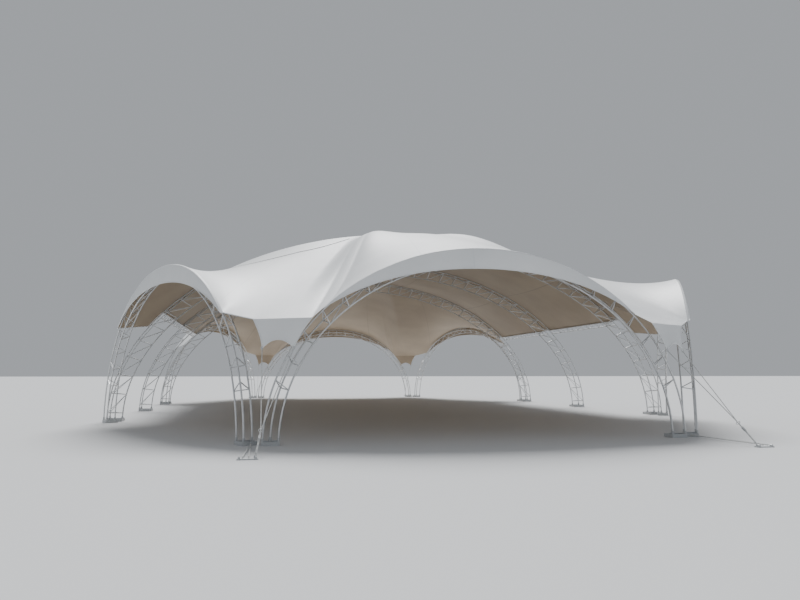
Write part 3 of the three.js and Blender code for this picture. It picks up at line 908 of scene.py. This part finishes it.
def lacing_net():
    """Two points on each row of the side net, set back from the hall arch by a sine bow."""
    side_net = end_net[:side_rows]
    count = len(side_net)
    steps = np.linalg.norm(np.diff(side_net, axis=1), axis=-1)[:, ::-1]
    back = np.concatenate([np.zeros((count, 1)), np.cumsum(steps, axis=1)], axis=1)
    row = np.arange(count)
    bow = LACING_NEAR + LACING_BOW * np.sin(np.pi * row / (count - 1))
    rows = []
    for distance in (bow + LACING_WIDTH, bow):
        after = (back < distance[:, None]).sum(axis=1)
        share = (distance - back[row, after - 1]) / (back[row, after] - back[row, after - 1])
        near = side_net[row, -after]
        far = side_net[row, -after - 1]
        rows.append(near + (far - near) * share[:, None])
    net = np.stack(rows, axis=1)
    normal = unit(np.cross(np.gradient(net[:, 0], axis=0), net[:, 1] - net[:, 0]))
    normal *= np.sign(normal[:, 2:])
    return net + LACING_RISE * normal[:, None]


lacing = lacing_net()
print("lacing line:", round(net_size(lacing)[1], 2), "m on each side canopy")

# %% The canopies of both ends
ARCH_ROWS = (END_STEPS - 2 * END_EAVE) * ROW_PARTS
for end, sign_y in ENDS:
    for side, sign_x in SIDES:
        net, facing = image_net(end_net[:side_rows], sign_x, sign_y)
        quarter = f"{end}_{side}"
        edges = (net[0], net[ARCH_ROWS : ARCH_ROWS + 2 * ROW_PARTS + 1, 0])
        bead = edge_bead(f"end_canopy_{quarter}", edges, UP)
        cloth_piece(
            f"end_canopy_{quarter}", net, (f"canopy_{quarter}",),
            -facing,
        )
        net, facing = image_net(lacing, sign_x, sign_y)
        strip = Shape()
        strip.add(net, [grid_faces(*net.shape[:2])[:, ::-facing]])
        name = f"end_canopy_{quarter}_lacing"
        # The strip's dark finish is partly painted shade along the lacing joint.
        make_piece(name, strip, [lacing_and_painted_shade], (), "smooth", fabric_uv(net))
    net, facing = image_net(end_net[side_rows - 1 : -side_rows + 1], 1, sign_y)
    cloth_piece(
        f"end_canopy_{end}_middle", net, (f"canopy_{end}_middle",),
        -facing,
    )

# %% [markdown]
# ## The roof of the hall
# One sheet covers each bay from eave to eave. It is held flat on both trusses and pulls in a
# little between them, most at the crown. The net could be relaxed like the ends', but between
# two equal arches a sine of sag has the same look and needs one line.

# %% Roof bays
ROOF_ROWS = 121
ROOF_COLUMNS = 49
ROOF_SAG = 0.17


def roof_bay():
    """Rows run over the arch, columns from one hall arch to the next. The sag is a sine to the
    power of 1.3 between the trusses, times the root of a sine from eave to eave."""
    joint = np.linspace(HALL_EAVE, HALL_STEPS - HALL_EAVE, ROOF_ROWS)
    line, lift = cloth_on(joint / HALL_STEPS, HALL)
    y = np.linspace(-BAY + HALL_Y_SHIFT, 0.0, ROOF_COLUMNS)
    low = -BAY + HALL_TRUSS / 2 + CHORD_RADIUS
    high = -HALL_TRUSS / 2 - CHORD_RADIUS
    between = np.clip((y - low) / (high - low), 0.0, 1.0)
    across = np.sin(np.pi * between) ** 1.3
    along = (joint - HALL_EAVE) / (HALL_STEPS - 2 * HALL_EAVE)
    held = np.sqrt(np.sin(np.pi * along).clip(0.0, 1.0))
    net = line[:, None] - ROOF_SAG * held[:, None, None] * across[None, :, None] * lift[:, None]
    net[..., 1] = y
    return net


bay_net = roof_bay()
for end, sign_y in ENDS:
    net, facing = image_net(bay_net, 1, sign_y)
    bead = edge_bead(f"roof_bay_{end}", (net[0], net[-1]), UP)
    cloth_piece(
        f"roof_bay_{end}", net, (f"roof_{end}_left", f"roof_{end}_right"),
        -facing,
    )

# %% [markdown]
# ## Visors
# A crescent of the same cloth starts on each end arch, reaches out and then turns down. It is
# widest over the crown and narrows to a tenth at both ends, so its free edge draws a second,
# lower arch. A profile swept along the arch would keep its width, so each row of the net takes
# its own share of the profile.

# %% Visors
VISOR_ROWS = 97
VISOR_COLUMNS = 17
VISOR_OUT = (0.0, 0.06, 0.11)
VISOR_DOWN = (0.0, 0.012, 0.52)
VISOR_NARROW = 0.1
VISOR_BULGE = 0.02


def visor_net(arch):
    """The profile goes out to the solid's kink and then down, with a slight bulge. Its length is
    a tenth at the ends, and the rest swells along the arch as a sine."""
    joint = np.linspace(END_EAVE, END_STEPS - END_EAVE, VISOR_ROWS)
    line, lift = cloth_on(joint / END_STEPS, arch, LADDER_SHIFT)
    kink = math.hypot(VISOR_OUT[1], VISOR_DOWN[1])
    whole = kink + math.hypot(VISOR_OUT[2] - VISOR_OUT[1], VISOR_DOWN[2] - VISOR_DOWN[1])
    swell = np.sin(np.pi * (joint - END_EAVE) / (END_STEPS - 2 * END_EAVE)).clip(0.0, 1.0)
    wide = whole * (VISOR_NARROW + (1 - VISOR_NARROW) * swell)
    length = wide[:, None] * np.linspace(0.0, 1.0, VISOR_COLUMNS)[None, :]
    out = np.interp(length, [0.0, kink, whole], VISOR_OUT)
    down = np.interp(length, [0.0, kink, whole], VISOR_DOWN)
    bulge = VISOR_BULGE * np.sin(np.pi * np.clip(length / whole, 0.0, 1.0))
    net = line[:, None] - down[..., None] * lift[:, None]
    net[..., 1] = line[:, None, 1] - out - bulge
    return net


VISORS = [("", FRONT, FRONT_CENTRE, 0.0, 1)]
for side, sign_x in SIDES:
    VISORS.append((f"_{side}", SIDE, SIDE_CENTRE, -SIDE_TURN, sign_x))
for end, sign_y in ENDS:
    for side, arch, centre, turn, sign_x in VISORS:
        placed = stand(visor_net(arch), centre, turn)
        net, facing = image_net(placed, sign_x, sign_y)
        name = f"{end}{side}_visor"
        outwards = turned((0.0, -1.0, 0.0), turn) * (sign_x, sign_y, 1)
        bead = edge_bead(name, (net[:, -1],), outwards)
        cloth_piece(f"{name}_cloth", net, (name,), facing)

# %% [markdown]
# ## Corner flaps
# At each outer corner the cloth folds over a straight line and narrows to two tips. The edge
# between the tips is cut in a scallop, so the pull runs round it. A flat triangle would be
# quicker, but the scallop and the curved sides are what tells cloth under load from a flag.

# %% Corner flaps
FLAP_ROWS = 41
FLAP_COLUMNS = 17
FLAP_HALF_TIP = 0.4
FLAP_DROP = 0.68
FLAP_SCALLOP = 0.19
FLAP_OUT = 0.18


def flap_point(side, down):
    """Side runs from -1 to 1 across the flap and down from 0 at the fold to 1 at the edge. Its
    half width narrows with (1 - down)^1.4, and the scallop is a parabola, 1 - side^2."""
    half = FLAP_HALF_TIP + (FLAP_HALF_TOP - FLAP_HALF_TIP) * (1 - down) ** 1.4
    drop = down * (FLAP_DROP - FLAP_SCALLOP * (1 - side**2))
    aside = ACROSS * (side * half)[..., None]
    outwards = BISECTOR * (FLAP_OUT * down)[..., None]
    return FLAP_MIDDLE + aside + outwards - UP * drop[..., None]


side_grid, down_grid = np.meshgrid(
    np.linspace(-1, 1, FLAP_ROWS), np.linspace(0, 1, FLAP_COLUMNS), indexing="ij"
)
flap_net = flap_point(side_grid, down_grid)
for quarter, sign_x, sign_y in QUARTERS:
    net, facing = image_net(flap_net, sign_x, sign_y)
    edges = (net[0], net[-1], net[:, -1])
    bead = edge_bead(f"corner_flap_{quarter}", edges, BISECTOR * (sign_x, sign_y, 1))
    cloth_piece(
        f"corner_flap_{quarter}_cloth", net, (f"corner_flap_{quarter}",),
        facing,
    )

# %% [markdown]
# ## Ropes, straps and anchors
# Two ropes run from the flap's tips to a steel ring, and one strap with a ratchet holds the
# ring down to a plate that is staked to the ground. Two more straps run just above the ground
# from the near foot to the plate. Curves could stand for them, but all are taut, so straight
# bars and flat blocks say the same with fewer points.

# %% Ropes, strap and ratchet
ANCHOR = CORNER + np.array([0.0, -2.54, 0.0])
GUY_SEAT = ANCHOR + np.array([0.144, 0.036, 0.05])
RING_SHARE = 0.79
# Radius of the ring and of its wire, with the sides of each.
RING = (0.045, 0.007)
RING_SIDES = (24, 8)
ROPE_RADIUS = 0.01
STRAP_SIZE = (0.035, 0.004)
# The ratchet's distance from the ring, and the strap's spare end, which lies on the strap.
RATCHET_AT = 0.2
TAIL_PLACE = (RATCHET_AT + 0.2, 0.0, 0.008)
TAIL_SIZE = (0.36, STRAP_SIZE[0] * 0.96, STRAP_SIZE[1])
# The ratchet's two side plates, its handle and its two spools.
RATCHET_PLATE = (0.11, 0.004, 0.03)
PLATE_ASIDE = 0.021
PLATE_RISE = 0.004
RATCHET_HANDLE = (0.09, 0.034, 0.006)
HANDLE_PLACE = (-0.015, 0.024)
SPOOL_PLACES = (-0.035, 0.025)
SPOOL = (0.008, 0.028)
TIP_HOOK = (0.05, 0.03, 0.06)
SEAT_HOOK = (0.06, 0.02, 0.05)


def ring_shape(centre, facing):
    """A torus: a small circle carried round a big one that is square to facing."""
    radius, wire = RING
    across = unit(np.cross(facing, UP))
    above = np.cross(facing, across)
    around, small = (2 * np.pi * np.arange(sides) / sides for sides in RING_SIDES)
    spoke = np.cos(around)[:, None] * across + np.sin(around)[:, None] * above
    points = (
        centre
        + spoke[:, None] * (radius + wire * np.cos(small))[None, :, None]
        + facing * (wire * np.sin(small))[None, :, None]
    )
    faces = grid_faces(RING_SIDES[0] + 1, RING_SIDES[1], wrap=True)
    return points, [faces % (RING_SIDES[0] * RING_SIDES[1])]


def ratchet_parts():
    """Handle, side plates and spools, made along x at their distance from the ring."""
    handle_x, handle_z = HANDLE_PLACE
    parts = [block((RATCHET_AT + handle_x, 0.0, handle_z), RATCHET_HANDLE)]
    for y in (-PLATE_ASIDE, PLATE_ASIDE):
        parts.append(block((RATCHET_AT, y, PLATE_RISE), RATCHET_PLATE))
    radius, half = SPOOL
    for x in SPOOL_PLACES:
        spool = np.array([[RATCHET_AT + x, y, PLATE_RISE] for y in (-half, half)])
        parts.append(bars(spool[0], spool[1], radius, 12))
    return parts


def lay_along(shape, parts, start, along, side):
    """Parts made along x are turned so that x follows along and y follows side, then moved."""
    frame_axes = np.stack([along, side, np.cross(along, side)])
    for points, faces in parts:
        shape.add(points.reshape(-1, 3) @ frame_axes + start, faces)


def guy_shapes():
    """Two ropes, a flat strap with its ratchet just below the ring, and the tips' hooks."""
    tips = flap_point(np.array([-1.0, 1.0]), np.array([1.0, 1.0]))
    ring = tips.mean(axis=0) * (1 - RING_SHARE) + GUY_SEAT * RING_SHARE
    along = unit(GUY_SEAT - ring)
    side = unit(np.cross(along, np.array([0.0, 1.0, 0.0])))
    long = np.linalg.norm(GUY_SEAT - ring)
    ropes = Shape()
    ropes.add(*bars(tips, np.stack([ring, ring]), ROPE_RADIUS, 10))
    strap = block((long / 2, 0.0, 0.0), (long, *STRAP_SIZE))
    lay_along(ropes, [strap, block(TAIL_PLACE, TAIL_SIZE)], ring, along, side)
    metal = Shape()
    metal.add(*ring_shape(ring, unit(GUY_SEAT - tips[0])))
    lay_along(metal, ratchet_parts(), ring, along, side)
    for tip in tips:
        metal.add(*block(tip, TIP_HOOK, SIXTH_TURN / 2))
    metal.add(*block(GUY_SEAT, SEAT_HOOK))
    return ropes, metal


# %% Anchor and foot straps
ANCHOR_SIZE = (0.4, 0.13, 0.024)
# The stakes' heads: radius, half length, height, and their place as a share of the plate.
STAKE_HEAD = (0.024, 0.03)
STAKE_RISE = 0.038
STAKE_PLACE = (0.39, -0.2)
FOOT_STRAP_SEATS = ANCHOR + np.array([[-0.096, 0.0, 0.05], [0.024, 0.0, 0.05]])
FOOT_STRAP_RADIUS = 0.012
FOOT_STRAP_GAP = 0.02


def anchor_shape():
    """The plate and the two round heads of its stakes."""
    shape = Shape()
    shape.add(*block(ANCHOR + UP * ANCHOR_SIZE[2] / 2, ANCHOR_SIZE))
    radius, half = STAKE_HEAD
    aside, across = np.array(STAKE_PLACE) * ANCHOR_SIZE[:2]
    for side in (-1, 1):
        head = ANCHOR + np.array([side * aside, across, STAKE_RISE])
        shape.add(*bars(head - (0, half, 0), head + (0, half, 0), radius, 16))
    return shape


def foot_strap_shape():
    """Two straps from the end of the near tray to the plate."""
    tray_end = chord_size(SIDE, 0.0)[0] + TRAY_MARGIN
    face = np.array([tray_end + FOOT_STRAP_GAP, -LADDER_SHIFT / 2, TRAY_HEIGHT / 2])
    start = stand(face, SIDE_CENTRE, -SIDE_TURN)
    return Shape().add(*bars(np.stack([start, start]), FOOT_STRAP_SEATS, FOOT_STRAP_RADIUS, 8))


# %% Fit out the four corners
guy_ropes, guy_metal = guy_shapes()
fit_quarters([
    ("guy", "ropes", guy_ropes, strap_cloth, "webbing", True),
    ("guy", "fittings", guy_metal, zinc, "steel", False),
    ("anchor", "plate", anchor_shape(), zinc, "steel", True),
    ("foot_strap", "pair", foot_strap_shape(), strap_cloth, "webbing", True),
])

# %% [markdown]
# ## Floor and light
# A plain pale floor and soft light from high behind the tent, so that the roof is bright and
# the visors and the underside fall into shade. Area lamps would have to be huge to reach round
# a tent, so one wide sun and an even pale world do it.

# %% Floor
FLOOR_HALF = 400.0
FLOOR_LEVEL = -0.001


def add_floor():
    """One square, a hair below the ground level so that no base plate flickers in it."""
    material, tree, shader = new_material("studio_floor")
    set_inputs(tree, shader, {"Base Color": linear("#d2d3d4"), "Roughness": 0.9})
    around = ((-1, -1), (1, -1), (1, 1), (-1, 1))
    corners = [(x * FLOOR_HALF, y * FLOOR_HALF, FLOOR_LEVEL) for x, y in around]
    mesh = bpy.data.meshes.new("studio_floor")
    mesh.from_pydata(corners, [], [(0, 1, 2, 3)])
    mesh.materials.append(material)
    floor = bpy.data.objects.new("studio_floor", mesh)
    bpy.context.scene.collection.objects.link(floor)
    print("floor:", 2 * FLOOR_HALF, "m square")


add_floor()

# %% Light
SKY_STRENGTH = 0.53
SUN_ENERGY = 4.2
SUN_ANGLE = 30
SUN_TILT = -36
SUN_LEAN = 8


def add_light():
    """An even pale world and one sun, its angles in degrees."""
    world = bpy.data.worlds.new("pale_sky")
    world.use_nodes = True
    background = world.node_tree.nodes["Background"]
    tones = {"Color": linear("#dfe4ea"), "Strength": SKY_STRENGTH}
    set_inputs(world.node_tree, background, tones)
    bpy.context.scene.world = world
    data = bpy.data.lights.new("high_soft_sun", "SUN")
    data.energy = SUN_ENERGY
    data.angle = math.radians(SUN_ANGLE)
    sun = bpy.data.objects.new("high_soft_sun", data)
    sun.rotation_euler = (math.radians(SUN_TILT), math.radians(SUN_LEAN), 0.0)
    bpy.context.scene.collection.objects.link(sun)
    print("world at", SKY_STRENGTH, "and sun at", SUN_ENERGY)


add_light()
